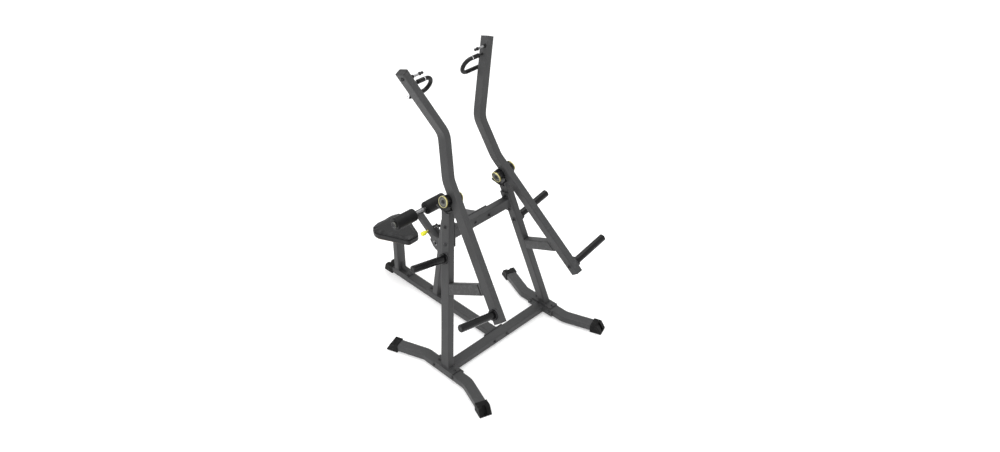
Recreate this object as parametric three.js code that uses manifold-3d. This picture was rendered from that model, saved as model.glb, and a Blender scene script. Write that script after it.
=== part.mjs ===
// Plate-loaded lat pulldown machine: a base with two splayed feet, two leaning uprights that carry
// the bearings of two lever arms, a seat, and a thigh hold-down that swings on a slotted bracket.
// Millimetres, +Z up. +X is the user's left-to-right, +Y runs from the levers' weight end to the seat.
// The origin is the middle of the footprint, on the floor.

import * as THREE from 'three';
import { mergeVertices } from 'three/addons/utils/BufferGeometryUtils.js';
import Module from 'manifold-3d';

const wasm = await Module();
wasm.setup();

const { cos, sin, tan, PI, hypot, sign } = Math;
const deg = (degrees) => (degrees * PI) / 180;

// ---- Driving dimensions ------------------------------------------------------------------

const GAP = 0.3; // between pieces that touch
const FIT = 0.8; // radial play of a turning fit

// Rectangular steel tube, shared by the whole frame
const TUBE_WIDE = 75;
const TUBE_NARROW = 50;
const TUBE_WALL = 3;
const TUBE_CORNER = 8;
const PLATE = 8;

// Base
const FOOT_SPACING = 950; // between the middles of the two feet
const FOOT_LIFT = 8; // tubes stand clear of the floor on their rubber caps
const FOOT_STRAIGHT = 400; // straight middle run
const FOOT_LEG = 250; // from each bend to the end of the tube
const FOOT_SPLAY = 20;
const FOOT_BEND_RADIUS = 110;
const BEAM_END_PLATE = 230;
const SPINE_END = 1125; // rear end of the spine tube, from the middle of the base beam
const FLANGE_WIDTH = 170;

// Rubber end caps
const CAP_WALL = 4;
const CAP_SOCKET = 42; // how far a cap goes over its tube
const CAP_NOSE = 46; // rubber beyond the end of the tube, at the floor
const CAP_SLANT = 34; // how far the nose leans back at its top
const SPINE_CAP_SLANT = 20;
const CAP_GROOVE = 24; // width of the groove down the nose
const CAP_GROOVE_DEPTH = 18;
const CAP_SILL = 14; // height of the rubber below the groove

// Each side stands in a plane that leans inward
const SIDE_TILT = 12;
const SIDE_OUT = FOOT_SPACING / 2 + 1; // distance of that plane from the machine's middle, at floor height

// Uprights
const UPRIGHT_LEAN = 10; // backwards, in the side plane
const UPRIGHT_FOOT_Y = 3; // its middle line meets the floor's height here
const BASE_PLATE_LENGTH = 180;

// Lever pivots, in the side plane
const PIVOT_Y = 173;
const PIVOT_UP = 1120;
const AXLE_DIAMETER = 25;
const HOUSING_RADIUS = 39;
const HOUSING_HEIGHT = 54; // from the saddle to the axle
const HOUSING_THICK = 36;
const HOUSING_TILT = 13;
const SADDLE_LENGTH = 90;
const RING_DIAMETER = 74;
const RING_WIDTH = 7;
const RING_THICK = 10;
const PIVOT_TUBE_DIAMETER = 70;

// Lever arms
const ARM_LOWER = 940; // weight end to first bend
const ARM_MIDDLE = 293;
const ARM_UPPER = 500;
const ARM_LOWER_LEAN = 40;
const ARM_UPPER_LEAN = 18;
const ARM_FLARE = 35; // the top run turns outward
const ARM_BEND_Y = 218; // first bend, in the side plane
const ARM_BEND_UP = 1235;
const ARM_BEND_RADIUS = 130;

// Weight horns
const HORN_DIAMETER = 50;
const HORN_COLLAR = 72;
const HORN_COLLAR_THICK = 18;
const WEIGHT_HORN = 292;
const WEIGHT_HORN_INSET = 60; // from the end of the arm
const STORAGE_HORN = 276;
const STORAGE_HORN_UP = 725;

// Stops that the arms rest on
const STOP_RISE = 26.5;
const STOP_UP = 655; // middle of the stop's front end
const STOP_Y = -193;
const BUMPER_THICK = 7;

// Upper beam between the uprights
const BEAM_Y = 158;
const BEAM_Z = 955;
const BEAM_PLATE_LENGTH = 160;

// Central post
const POST_FOOT_Y = 608;
const POST_LEAN = 10;
const POST_RISE = 19.5; // slope of its upper run
const POST_BEND_RADIUS = 190;
const POST_TOP_Z = 945;

// Seat
const SEAT_POST_Y = 1031;
const SEAT_TOP = 440;
const SEAT_THICK = 56;
const SEAT_REAR_Y = 1178;
const SEAT_FRONT_Y = 850;
const SEAT_REAR_WIDTH = 388;
const SEAT_FRONT_WIDTH = 100;
const SEAT_REAR_RADIUS = 78;
const SEAT_FRONT_RADIUS = 34;
const SEAT_BOARD = 12;
const SEAT_BOARD_INSET = 16;

// Thigh hold-down
const HINGE_Y = 582;
const HINGE_Z = 539;
const HOLD_RISE = 36; // slope of its tube at rest
const HOLD_TUBE = 44;
const HOLD_LENGTH = 262; // hinge to the end of the tube
const HOLD_AXLE_REACH = 246; // hinge to the roller axle, along the tube
const ROLLER_AXLE = 25;
const ROLLER_DIAMETER = 95;
const ROLLER_LENGTH = 176;
const ROLLER_GAP = 104; // between the two rollers
const HUB_DIAMETER = 46;
const HUB_THICK = 11;
const BRACKET_PLATE = 6;
const HINGE_BOLT = 14;
const INDEX_RADIUS = 99;
const INDEX_RIM = 17;
const INDEX_STEP = 12;
const INDEX_HOLES = 4;
const PIN_DIAMETER = 10;
const KNOB_DIAMETER = 33;
const KNOB_LENGTH = 46;

// Swivelling handles. Their axles and the pegs above them lie level, along x
const HANDLE_Y = 415;
const HANDLE_Z = 1932;
const STUD_DIAMETER = 14;
const STUD_ANCHOR = 15; // how far the stud reaches into the arm
const HUB_START = SIDE_OUT - 282; // from the machine's middle
const HUB_LENGTH = 62;
const HUB_RADIUS = 14.5;
const HUB_FLOOR = 12; // solid metal beyond the end of the stud
const GRIP_DIAMETER = 27;
const GRIP_BEND = 55;
const GRIP_BEND_X = HUB_START - 5; // where the grip begins to bend
const GRIP_LEG = 100;
const GRIP_CAP_LENGTH = 15;
const GRIP_LEAN = 20.5; // the loop hangs back behind the arm
const PEG_Y = 407;
const PEG_Z = 1984;
const PEG_DIAMETER = 15;
const PEG_COLLAR = 23;
const PEG_BALL = 19;
const PEG_BALL_X = SIDE_OUT - 256;
const PEG_COLLAR_THICK = 8;
const PEG_NECK = 4; // radius of the neck between collar and ball
const PEG_NECK_LENGTH = 5;

// ---- Materials -----------------------------------------------------------------------------

const finish = (color, roughness, metalness) =>
  new THREE.MeshStandardMaterial({ color, roughness, metalness });
const FRAME_PAINT = finish(0x4a4c50, 0.55, 0.3);
const BLACK_PAINT = finish(0x18181a, 0.45, 0.3);
const RUBBER = finish(0x121212, 0.8, 0);
const VINYL = finish(0x1a1a1c, 0.55, 0);
const CHROME = finish(0xc8cace, 0.2, 1);
const ZINC = finish(0xb8b060, 0.4, 0.8);
const YELLOW = finish(0xf0e020, 0.4, 0);
const PLYWOOD = finish(0x2a2622, 0.8, 0);

// ---- Geometry helpers ------------------------------------------------------------------------

// A rectangle with rounded corners, centred on the origin
function roundedRectangle(width, height, radius) {
  const x = width / 2 - radius;
  const y = height / 2 - radius;
  const shape = new THREE.Shape();
  shape.absarc(x, y, radius, 0, PI / 2);
  shape.absarc(-x, y, radius, PI / 2, PI);
  shape.absarc(-x, -y, radius, PI, 1.5 * PI);
  shape.absarc(x, -y, radius, 1.5 * PI, 2 * PI);
  shape.closePath();
  return shape;
}

// The section of a hollow tube
function tubeSection(width, height, corner = TUBE_CORNER, wall = TUBE_WALL) {
  const section = roundedRectangle(width, height, corner);
  section.holes.push(roundedRectangle(width - 2 * wall, height - 2 * wall, corner - wall));
  return section;
}

// A polygon whose corners are rounded: points are [x, y, radius]
function roundedPolygon(points) {
  const shape = new THREE.Shape();
  points.forEach(([x, y, radius], i) => {
    const before = points[(i + points.length - 1) % points.length];
    const after = points[(i + 1) % points.length];
    const back = new THREE.Vector2(before[0] - x, before[1] - y).normalize();
    const on = new THREE.Vector2(after[0] - x, after[1] - y).normalize();
    const half = Math.acos(back.dot(on)) / 2;
    const reach = radius / tan(half);
    const middle = back.clone().add(on).normalize().multiplyScalar(radius / sin(half));
    const start = back.clone().multiplyScalar(reach).sub(middle).angle();
    const end = on.clone().multiplyScalar(reach).sub(middle).angle();
    const clockwise = back.cross(on) > 0;
    shape.absarc(x + middle.x, y + middle.y, radius, start, end, clockwise);
  });
  shape.closePath();
  return shape;
}

const CORNER_STEPS = 1;
const ROUND_STEPS = 14;
const BALL_STEPS = 6;
const KNOB_STEPS = 20;

// A shape pulled straight up from z = 0
const prism = (shape, depth, steps = CORNER_STEPS) =>
  new THREE.ExtrudeGeometry(shape, { depth, bevelEnabled: false, curveSegments: steps });

// The same, centred on z = 0
const centredPrism = (shape, depth, steps) => prism(shape, depth, steps).translate(0, 0, -depth / 2);

// A centre line with round bends that is sampled only where its direction changes
class BentLine extends THREE.Curve {
  constructor(corners, radius, bendSteps) {
    super();
    this.stations = [];
    corners.forEach((corner, i) => {
      const before = corners[i - 1];
      const after = corners[i + 1];
      if (!before || !after) {
        const direction = after ? after.clone().sub(corner) : corner.clone().sub(before);
        this.stations.push({ point: corner, tangent: direction.normalize() });
        return;
      }
      const inward = corner.clone().sub(before).normalize();
      const outward = after.clone().sub(corner).normalize();
      const angle = inward.angleTo(outward);
      const axis = inward.clone().cross(outward).normalize();
      const start = corner.clone().addScaledVector(inward, -radius * tan(angle / 2));
      const toCentre = axis.clone().cross(inward).multiplyScalar(radius);
      const centre = start.clone().add(toCentre);
      for (let k = 0; k <= bendSteps; k += 1) {
        const turn = (angle * k) / bendSteps;
        const point = toCentre.clone().negate().applyAxisAngle(axis, turn).add(centre);
        this.stations.push({ point, tangent: inward.clone().applyAxisAngle(axis, turn) });
      }
    });
    this.steps = this.stations.length - 1;
  }

  getSpacedPoints() {
    return this.stations.map((station) => station.point);
  }

  getTangentAt(u) {
    return this.stations[Math.round(u * this.steps)].tangent.clone();
  }
}

// A section carried along a bent centre line
function sweep(section, corners, radius, bendSteps = 3, steps = CORNER_STEPS) {
  const line = new BentLine(corners, radius, bendSteps);
  return new THREE.ExtrudeGeometry(section, { steps: line.steps, extrudePath: line, curveSegments: steps });
}

// A ring or disc turned about the x axis: profile points are [distance along x, radius]
function turned(profile, steps = ROUND_STEPS) {
  const points = profile.map(([along, radius]) => new THREE.Vector2(radius, along));
  if (THREE.ShapeUtils.area(points) < 0) points.reverse();
  return new THREE.LatheGeometry(points, steps).rotateZ(-PI / 2);
}

// The corner radius of a round whose flats lie at the given radius
const acrossFlats = (radius, steps = ROUND_STEPS) => radius / cos(PI / steps);

const disc = (from, to, radius, chamfer = 1) =>
  turned([
    [from, 0],
    [from, radius - chamfer],
    [from + chamfer, radius],
    [to - chamfer, radius],
    [to, radius - chamfer],
    [to, 0],
  ]);

function hoop(from, to, inner, outer, chamfer = 1) {
  const hole = acrossFlats(inner);
  return turned([
    [from, hole],
    [from, outer - chamfer],
    [from + chamfer, outer],
    [to - chamfer, outer],
    [to, outer - chamfer],
    [to, hole],
    [from, hole],
  ]);
}

const box = (x, y, z) => new THREE.BoxGeometry(x, y, z);

// ---- Joining and cutting -------------------------------------------------------------------

function solid(geometry) {
  const bare = geometry.clone();
  bare.deleteAttribute('normal');
  bare.deleteAttribute('uv');
  const merged = mergeVertices(bare, 1e-4);
  const made = new wasm.Manifold(
    new wasm.Mesh({
      numProp: 3,
      vertProperties: new Float32Array(merged.attributes.position.array),
      triVerts: new Uint32Array(merged.index.array),
    }),
  );
  return made.volume() < 0 ? solid(flipped(merged)) : made;
}

function flipped(geometry) {
  const index = geometry.index.array;
  for (let i = 0; i < index.length; i += 3) [index[i], index[i + 1]] = [index[i + 1], index[i]];
  return geometry;
}

function surface(made) {
  const mesh = made.getMesh();
  const geometry = new THREE.BufferGeometry();
  geometry.setAttribute('position', new THREE.BufferAttribute(mesh.vertProperties, 3));
  geometry.setIndex(new THREE.BufferAttribute(mesh.triVerts, 1));
  return geometry;
}

const join = (...geometries) => surface(geometries.map(solid).reduce((all, one) => all.add(one)));
const cut = (geometry, ...tools) =>
  surface(tools.map(solid).reduce((all, one) => all.subtract(one), solid(geometry)));

// ---- Scene ---------------------------------------------------------------------------------

const machine = new THREE.Group();

function add(parent, name, geometry, material) {
  const mesh = new THREE.Mesh(geometry, material);
  mesh.name = name;
  parent.add(mesh);
  return mesh;
}

const SIDES = [
  { name: 'left', hand: -1 },
  { name: 'right', hand: 1 },
];

// The frame of a side plane: x runs outward times the hand, z runs up the leaning plane
const sideFrame = (hand) => new THREE.Matrix4().makeRotationY(-hand * deg(SIDE_TILT));

function sideGroup(hand) {
  const group = new THREE.Group();
  group.applyMatrix4(sideFrame(hand));
  machine.add(group);
  return group;
}

// A geometry given in the machine's frame, as seen from a side's frame
const seenFromSide = (geometry, hand) => geometry.applyMatrix4(sideFrame(hand).invert());

const TUBE_TOP = FOOT_LIFT + TUBE_NARROW; // of every tube in the base
const FOOT_X = FOOT_SPACING / 2;
const BIG = 4000; // of blocks that trim
const RUN = 1300; // of tubes before they are trimmed

// ---- Base ----------------------------------------------------------------------------------

// A rubber cap on the end of a flat tube that points along +x, its end at x = 0
function endCap(slant = CAP_SLANT) {
  const width = TUBE_WIDE + 2 * GAP + 2 * CAP_WALL;
  const height = TUBE_TOP + GAP + CAP_WALL;
  const side = roundedPolygon([
    [-CAP_SOCKET, 0, 3],
    [CAP_NOSE, 0, 5],
    [CAP_NOSE - slant, height, 9],
    [-CAP_SOCKET, height, 3],
  ]);
  const block = centredPrism(side, width).rotateX(PI / 2);
  const socket = box(2 * CAP_SOCKET, TUBE_WIDE + 2 * GAP, TUBE_NARROW + 2 * GAP);
  socket.translate(GAP - CAP_SOCKET, 0, FOOT_LIFT + TUBE_NARROW / 2);
  const groove = box(CAP_NOSE, CAP_GROOVE, height);
  groove.rotateY(-Math.atan2(slant, height));
  groove.translate(CAP_NOSE - CAP_GROOVE_DEPTH - slant / 2 + CAP_NOSE / 2, 0, CAP_SILL + height / 2);
  return cut(block, socket, groove);
}

for (const { name, hand } of SIDES) {
  const bend = FOOT_STRAIGHT / 2;
  const legOut = FOOT_LEG * sin(deg(FOOT_SPLAY));
  const legOn = FOOT_LEG * cos(deg(FOOT_SPLAY));
  const corner = (out, y) => new THREE.Vector3(hand * (FOOT_X + out), y, FOOT_LIFT + TUBE_NARROW / 2);
  const corners = [
    corner(legOut, -bend - legOn),
    corner(0, -bend),
    corner(0, bend),
    corner(legOut, bend + legOn),
  ];
  const section = tubeSection(TUBE_NARROW, TUBE_WIDE);
  add(machine, `${name}_foot`, sweep(section, corners, FOOT_BEND_RADIUS), FRAME_PAINT);
  for (const [end, way] of [['front', -1], ['rear', 1]]) {
    const cap = add(machine, `${name}_${end}_foot_cap`, endCap(), RUBBER);
    cap.position.set(hand * (FOOT_X + legOut), way * (bend + legOn), 0);
    cap.rotation.z = way * (PI / 2 - hand * deg(FOOT_SPLAY));
  }
}

{
  const inner = FOOT_X - TUBE_WIDE / 2 - GAP; // to the inner faces of the feet
  const beam = centredPrism(tubeSection(TUBE_WIDE, TUBE_NARROW), 2 * inner - PLATE);
  beam.rotateZ(PI / 2).rotateY(PI / 2);
  const plates = SIDES.map(({ hand }) =>
    box(PLATE, BEAM_END_PLATE, TUBE_NARROW).translate(hand * (inner - PLATE / 2), 0, 0));
  const vent = disc(-BIG, BIG, 9);
  const joined = cut(join(beam, ...plates), vent);
  add(machine, 'base_beam', joined.translate(0, 0, FOOT_LIFT + TUBE_NARROW / 2), FRAME_PAINT);
}

{
  const start = TUBE_WIDE / 2 + GAP;
  const tube = prism(tubeSection(TUBE_WIDE, TUBE_NARROW), SPINE_END - start - PLATE / 2).rotateX(-PI / 2);
  tube.translate(0, start + PLATE / 2, 0);
  const flange = box(FLANGE_WIDTH, PLATE, TUBE_NARROW).translate(0, start + PLATE / 2, 0);
  add(machine, 'spine', join(tube, flange).translate(0, 0, FOOT_LIFT + TUBE_NARROW / 2), FRAME_PAINT);
  const cap = add(machine, 'spine_cap', endCap(SPINE_CAP_SLANT), RUBBER);
  cap.position.y = SPINE_END;
  cap.rotation.z = PI / 2;
}

// ---- Seat ----------------------------------------------------------------------------------

function seatOutline(inset) {
  const rear = SEAT_REAR_WIDTH / 2 - inset;
  const front = SEAT_FRONT_WIDTH / 2 - inset;
  return roundedPolygon([
    [-rear, SEAT_REAR_Y - inset, SEAT_REAR_RADIUS - inset],
    [-front, SEAT_FRONT_Y + inset, SEAT_FRONT_RADIUS - inset],
    [front, SEAT_FRONT_Y + inset, SEAT_FRONT_RADIUS - inset],
    [rear, SEAT_REAR_Y - inset, SEAT_REAR_RADIUS - inset],
  ]);
}

{
  const cushionBase = SEAT_TOP - SEAT_THICK;
  const boardBase = cushionBase - GAP - SEAT_BOARD;
  const topPlateBase = boardBase - GAP - PLATE;
  const standing = TUBE_TOP + GAP; // top of the spine

  add(machine, 'seat_cushion', prism(seatOutline(0), SEAT_THICK, 5).translate(0, 0, cushionBase), VINYL);
  const board = prism(seatOutline(SEAT_BOARD_INSET), SEAT_BOARD, 4);
  add(machine, 'seat_board', board.translate(0, 0, boardBase), PLYWOOD);

  const frontOfPost = SEAT_POST_Y - TUBE_NARROW / 2;
  const column = prism(tubeSection(TUBE_WIDE, TUBE_NARROW), topPlateBase - standing - PLATE / 2);
  column.translate(0, SEAT_POST_Y, standing + PLATE / 2);
  const footPlate = box(TUBE_WIDE, 150, PLATE).translate(0, frontOfPost - 25, standing + PLATE / 2);
  const topPlate = box(110, 150, PLATE).translate(0, SEAT_POST_Y, topPlateBase + PLATE / 2);
  const gussetSide = new THREE.Shape([
    new THREE.Vector2(0, 0),
    new THREE.Vector2(-60, 0),
    new THREE.Vector2(0, 70),
  ]);
  const gusset = centredPrism(gussetSide, PLATE).rotateX(PI / 2).rotateZ(PI / 2);
  gusset.translate(0, frontOfPost + 1, standing + PLATE - 1);
  const vent = new THREE.CylinderGeometry(9, 9, 4 * PLATE, 16).rotateX(PI / 2);
  vent.translate(0, SEAT_POST_Y, topPlateBase);
  const post = cut(join(column, footPlate, topPlate, gusset), vent);
  add(machine, 'seat_post', post, FRAME_PAINT);
}

// ---- Upper beam and central post -------------------------------------------------------------

// Place of an upright's middle line at a height in the side plane
const uprightY = (up) => UPRIGHT_FOOT_Y + up * tan(deg(UPRIGHT_LEAN));

{
  const tube = centredPrism(tubeSection(TUBE_WIDE, TUBE_NARROW), RUN).rotateY(PI / 2);
  const beam = tube.translate(0, BEAM_Y, BEAM_Z);
  const inner = SIDE_OUT - TUBE_NARROW / 2 - GAP; // of the uprights' inner faces
  const beamUp = (BEAM_Z - inner * sin(deg(SIDE_TILT))) / cos(deg(SIDE_TILT));
  const outside = [];
  const plates = [];
  for (const { hand } of SIDES) {
    const block = box(BIG, BIG, BIG).translate(hand * (inner + BIG / 2 - PLATE / 2), 0, beamUp);
    outside.push(block.applyMatrix4(sideFrame(hand)));
    const plate = box(PLATE, TUBE_WIDE - 2, BEAM_PLATE_LENGTH).rotateX(-deg(UPRIGHT_LEAN));
    plate.translate(hand * (inner - PLATE / 2), uprightY(beamUp), beamUp);
    plates.push(plate.applyMatrix4(sideFrame(hand)));
  }
  const vent = disc(-BIG, BIG, 9).translate(0, BEAM_Y, BEAM_Z);
  add(machine, 'upper_beam', cut(join(cut(beam, ...outside), ...plates), vent), FRAME_PAINT);
}

const postForward = tan(deg(POST_LEAN)); // run per unit of height, lower run
const POST_FOOT_Z = TUBE_TOP + GAP + PLATE / 2;
const POST_TOP_Y = BEAM_Y + TUBE_NARROW / 2 + GAP + PLATE / 2;

{
  const foot = new THREE.Vector3(0, POST_FOOT_Y, POST_FOOT_Z);
  const top = new THREE.Vector3(0, POST_TOP_Y, POST_TOP_Z);
  // the corner where the lower and the upper run would meet
  const rise = tan(deg(POST_RISE));
  const cornerZ = (top.z - rise * (foot.y + postForward * foot.z - top.y)) / (1 - rise * postForward);
  const corner = new THREE.Vector3(0, foot.y - postForward * (cornerZ - foot.z), cornerZ);
  const below = foot.clone().addScaledVector(foot.clone().sub(corner).normalize(), 30);
  const beyond = top.clone().addScaledVector(top.clone().sub(corner).normalize(), 30);
  const run = sweep(tubeSection(TUBE_WIDE, TUBE_NARROW), [below, corner, beyond], POST_BEND_RADIUS, 6);
  const trimmed = cut(
    run,
    box(BIG, BIG, BIG).translate(0, POST_FOOT_Y, foot.z - BIG / 2),
    box(BIG, BIG, BIG).translate(0, top.y - BIG / 2, POST_TOP_Z),
  );
  const footPlate = box(TUBE_WIDE, 160, PLATE).translate(0, POST_FOOT_Y, foot.z);
  const flange = box(FLANGE_WIDTH, PLATE, TUBE_WIDE).translate(0, top.y, BEAM_Z);
  const vent = new THREE.CylinderGeometry(9, 9, 60, 16).translate(0, top.y, POST_TOP_Z);
  add(machine, 'central_post', cut(join(trimmed, footPlate, flange), vent), FRAME_PAINT);
}

// ---- Thigh hold-down ---------------------------------------------------------------------------

const bracketInner = HOLD_TUBE / 2 + 1;
const bracketOuter = bracketInner + BRACKET_PLATE;
const roundAboutX = (radius, length, at = 0) => disc(at - length / 2, at + length / 2, radius, 0.01);
// A tool that cuts a round hole: its flats lie at the given radius
const drill = (radius, length = BIG, at = 0) => roundAboutX(acrossFlats(radius), length, at);

{
  // Outlines are drawn in the y-z plane and then stood up across x
  const acrossX = (shape, thick, x) =>
    centredPrism(shape, thick, 3).rotateY(PI / 2).rotateX(PI / 2).translate(x, 0, 0);
  const rearOfPost = (z) =>
    POST_FOOT_Y - postForward * (z - POST_FOOT_Z) + (TUBE_NARROW / 2 + GAP) / cos(deg(POST_LEAN));
  const about = (angle, radius) => [
    HINGE_Y + radius * cos(deg(angle)),
    HINGE_Z + radius * sin(deg(angle)),
  ];
  const low = HINGE_Z - 62;
  const high = HINGE_Z + 58;
  const cheekPoints = [
    [rearOfPost(low), low, 2],
    [...about(-62, 46), 10],
    [...about(HOLD_RISE - 30, 56), 12],
    [...about(HOLD_RISE + 30, 56), 12],
    [rearOfPost(high), high, 2],
  ];
  const cheek = (x) => acrossX(roundedPolygon(cheekPoints), BRACKET_PLATE, x);

  // The index plate is a sector about the hinge with a hole for each setting
  const sectorRadius = INDEX_RADIUS + INDEX_RIM;
  const lastAngle = HOLD_RISE + INDEX_STEP * (INDEX_HOLES - 1);
  const sector = new THREE.Shape();
  sector.moveTo(...about(HOLD_RISE - 6, 20));
  for (let k = 0; k < INDEX_HOLES; k += 1) {
    const angle = HOLD_RISE + INDEX_STEP * k;
    sector.lineTo(...about(angle - 5, sectorRadius - 4));
    sector.lineTo(...about(angle - 3, sectorRadius));
    sector.lineTo(...about(angle + 3, sectorRadius));
    sector.lineTo(...about(angle + 5, sectorRadius - 4));
  }
  sector.lineTo(...about(lastAngle + 12, 60));
  sector.lineTo(...about(lastAngle + 12, 20));
  sector.closePath();
  const indexPlate = acrossX(sector, BRACKET_PLATE, bracketInner + BRACKET_PLATE / 2);

  const backPlate = box(2 * bracketOuter, BRACKET_PLATE, high - low).rotateX(deg(POST_LEAN));
  const backY = rearOfPost(HINGE_Z) + BRACKET_PLATE / 2;
  backPlate.translate(0, backY, (low + high) / 2);
  const bolt = drill(HINGE_BOLT / 2 + GAP).translate(0, HINGE_Y, HINGE_Z);
  const holes = [];
  for (let k = 0; k < INDEX_HOLES; k += 1) {
    const [y, z] = about(HOLD_RISE + INDEX_STEP * k, INDEX_RADIUS);
    holes.push(drill(PIN_DIAMETER / 2 + FIT, 30, bracketOuter).translate(0, y, z));
  }
  const midLeft = -(bracketInner + BRACKET_PLATE / 2);
  const bracket = cut(join(backPlate, cheek(midLeft), cheek(-midLeft), indexPlate), bolt, ...holes);
  const postSide = box(BIG, BIG, BIG).rotateX(deg(POST_LEAN));
  postSide.translate(0, rearOfPost(HINGE_Z) - BIG / 2 / cos(deg(POST_LEAN)), HINGE_Z);
  add(machine, 'hold_down_bracket', cut(bracket, postSide), FRAME_PAINT);
}

// The hold-down swings in its own group: x across, y along its tube, z away from the seat
const holdDown = new THREE.Group();
holdDown.position.set(0, HINGE_Y, HINGE_Z);
holdDown.rotation.x = deg(HOLD_RISE);
machine.add(holdDown);

const axleRise = HOLD_TUBE / 2;
const rollerEnd = ROLLER_GAP / 2 + ROLLER_LENGTH;
{
  const tube = prism(tubeSection(HOLD_TUBE, HOLD_TUBE, 5), HOLD_LENGTH).rotateX(-PI / 2);
  const heel = roundAboutX(HOLD_TUBE / 2, HOLD_TUBE);
  const saddle = box(ROLLER_GAP - 8, 36, 26).translate(0, HOLD_AXLE_REACH, axleRise - 15);
  const axleBed = drill(ROLLER_AXLE / 2 + GAP).translate(0, HOLD_AXLE_REACH, axleRise);
  const hinge = drill(HINGE_BOLT / 2 + FIT);
  const pinBore = drill(PIN_DIAMETER / 2 + FIT).translate(0, INDEX_RADIUS, 0);
  const joined = join(tube, heel, saddle);
  add(holdDown, 'hold_down_tube', cut(joined, axleBed, hinge, pinBore), FRAME_PAINT);

  const boltReach = bracketOuter + 9;
  const shank = disc(-boltReach, boltReach, HINGE_BOLT / 2);
  const heads = SIDES.map(({ hand }) => {
    const ends = [hand * (bracketOuter + GAP), hand * (boltReach + 1)].sort((a, b) => a - b);
    return turned([[ends[0], 0], [ends[0], 12], [ends[1], 12], [ends[1], 0]], 6);
  });
  const bolt = add(machine, 'hinge_bolt', join(shank, ...heads), BLACK_PAINT);
  bolt.position.set(0, HINGE_Y, HINGE_Z);

  const axle = disc(-rollerEnd - HUB_THICK, rollerEnd + HUB_THICK, ROLLER_AXLE / 2, 1.5);
  axle.translate(0, HOLD_AXLE_REACH, axleRise);
  add(holdDown, 'roller_axle', axle, CHROME);

  for (const { name, hand } of SIDES) {
    const roller = hoop(ROLLER_GAP / 2, rollerEnd, ROLLER_AXLE / 2 + FIT, ROLLER_DIAMETER / 2, 9);
    const hub = hoop(rollerEnd + GAP, rollerEnd + HUB_THICK, ROLLER_AXLE / 2 + GAP, HUB_DIAMETER / 2, 2);
    for (const [node, piece, material] of [['roller', roller, RUBBER], ['roller_hub', hub, BLACK_PAINT]]) {
      const mesh = add(holdDown, `${name}_${node}`, hand > 0 ? piece : piece.rotateY(PI), material);
      mesh.position.set(0, HOLD_AXLE_REACH, axleRise);
    }
  }

  // Pull pin: a shaft across the tube with a knob on the left
  const face = -HOLD_TUBE / 2;
  const barrelEnd = face - 13;
  const shaftEnd = bracketInner - GAP;
  const knobStart = barrelEnd - GAP;
  const knobEnd = knobStart - KNOB_LENGTH;
  const radius = KNOB_DIAMETER / 2;
  const pin = turned([
    [knobEnd, 0],
    [knobEnd, radius - 4],
    [knobEnd + 4, radius],
    [knobStart - 14, radius],
    [knobStart - 8, radius * 0.62],
    [knobStart, radius * 0.62],
    [knobStart, PIN_DIAMETER / 2],
    [shaftEnd - 1, PIN_DIAMETER / 2],
    [shaftEnd, PIN_DIAMETER / 2 - 1],
    [shaftEnd, 0],
  ], KNOB_STEPS);
  const bore = acrossFlats(PIN_DIAMETER / 2 + FIT, KNOB_STEPS);
  const barrel = turned([
    [face - GAP, bore],
    [face - GAP, 12],
    [barrelEnd, 10],
    [barrelEnd, bore],
    [face - GAP, bore],
  ], KNOB_STEPS);
  add(holdDown, 'pull_pin', pin, YELLOW).position.y = INDEX_RADIUS;
  add(holdDown, 'pin_barrel', barrel, ZINC).position.y = INDEX_RADIUS;
}

// ---- Sides: uprights, pivots, stops, horns ---------------------------------------------------------

// Lever arm centre line, in the side plane: outward, back, up
const flare = deg(ARM_FLARE);
const lowerLean = deg(ARM_LOWER_LEAN);
const upperLean = deg(ARM_UPPER_LEAN);
const armBend = [0, ARM_BEND_Y, ARM_BEND_UP];
const armEnd = [0, ARM_BEND_Y - ARM_LOWER * sin(lowerLean), ARM_BEND_UP - ARM_LOWER * cos(lowerLean)];
const armKink = [0, ARM_BEND_Y + ARM_MIDDLE * sin(upperLean), ARM_BEND_UP + ARM_MIDDLE * cos(upperLean)];
const armTop = [
  ARM_UPPER * sin(flare),
  armKink[1] + ARM_UPPER * cos(flare) * sin(upperLean),
  armKink[2] + ARM_UPPER * cos(flare) * cos(upperLean),
];

// From the machine's middle to the inner (-1) or outer (1) face of an arm's top run, at a height
// above the floor
function armFace(z, way) {
  const tilt = deg(SIDE_TILT);
  const slope = tan(flare) / cos(upperLean); // outward run per unit up the side plane
  const atKink = SIDE_OUT + (way * TUBE_NARROW) / 2 / cos(flare);
  const rise = (z * cos(tilt) - armKink[2]) * slope;
  return (atKink - z * sin(tilt) + rise) / (cos(tilt) + slope * sin(tilt));
}

// A horn that points along +x from x = 0
function horn(length) {
  const shaft = HORN_DIAMETER / 2;
  return turned([
    [0, 0],
    [0, HORN_COLLAR / 2],
    [HORN_COLLAR_THICK, HORN_COLLAR / 2],
    [HORN_COLLAR_THICK, shaft],
    [length - 4, shaft],
    [length, shaft - 4],
    [length, 0],
  ]);
}

// Points a geometry made for the right side outward on either side
const toward = (geometry, hand) => (hand > 0 ? geometry : geometry.rotateZ(PI));

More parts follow.
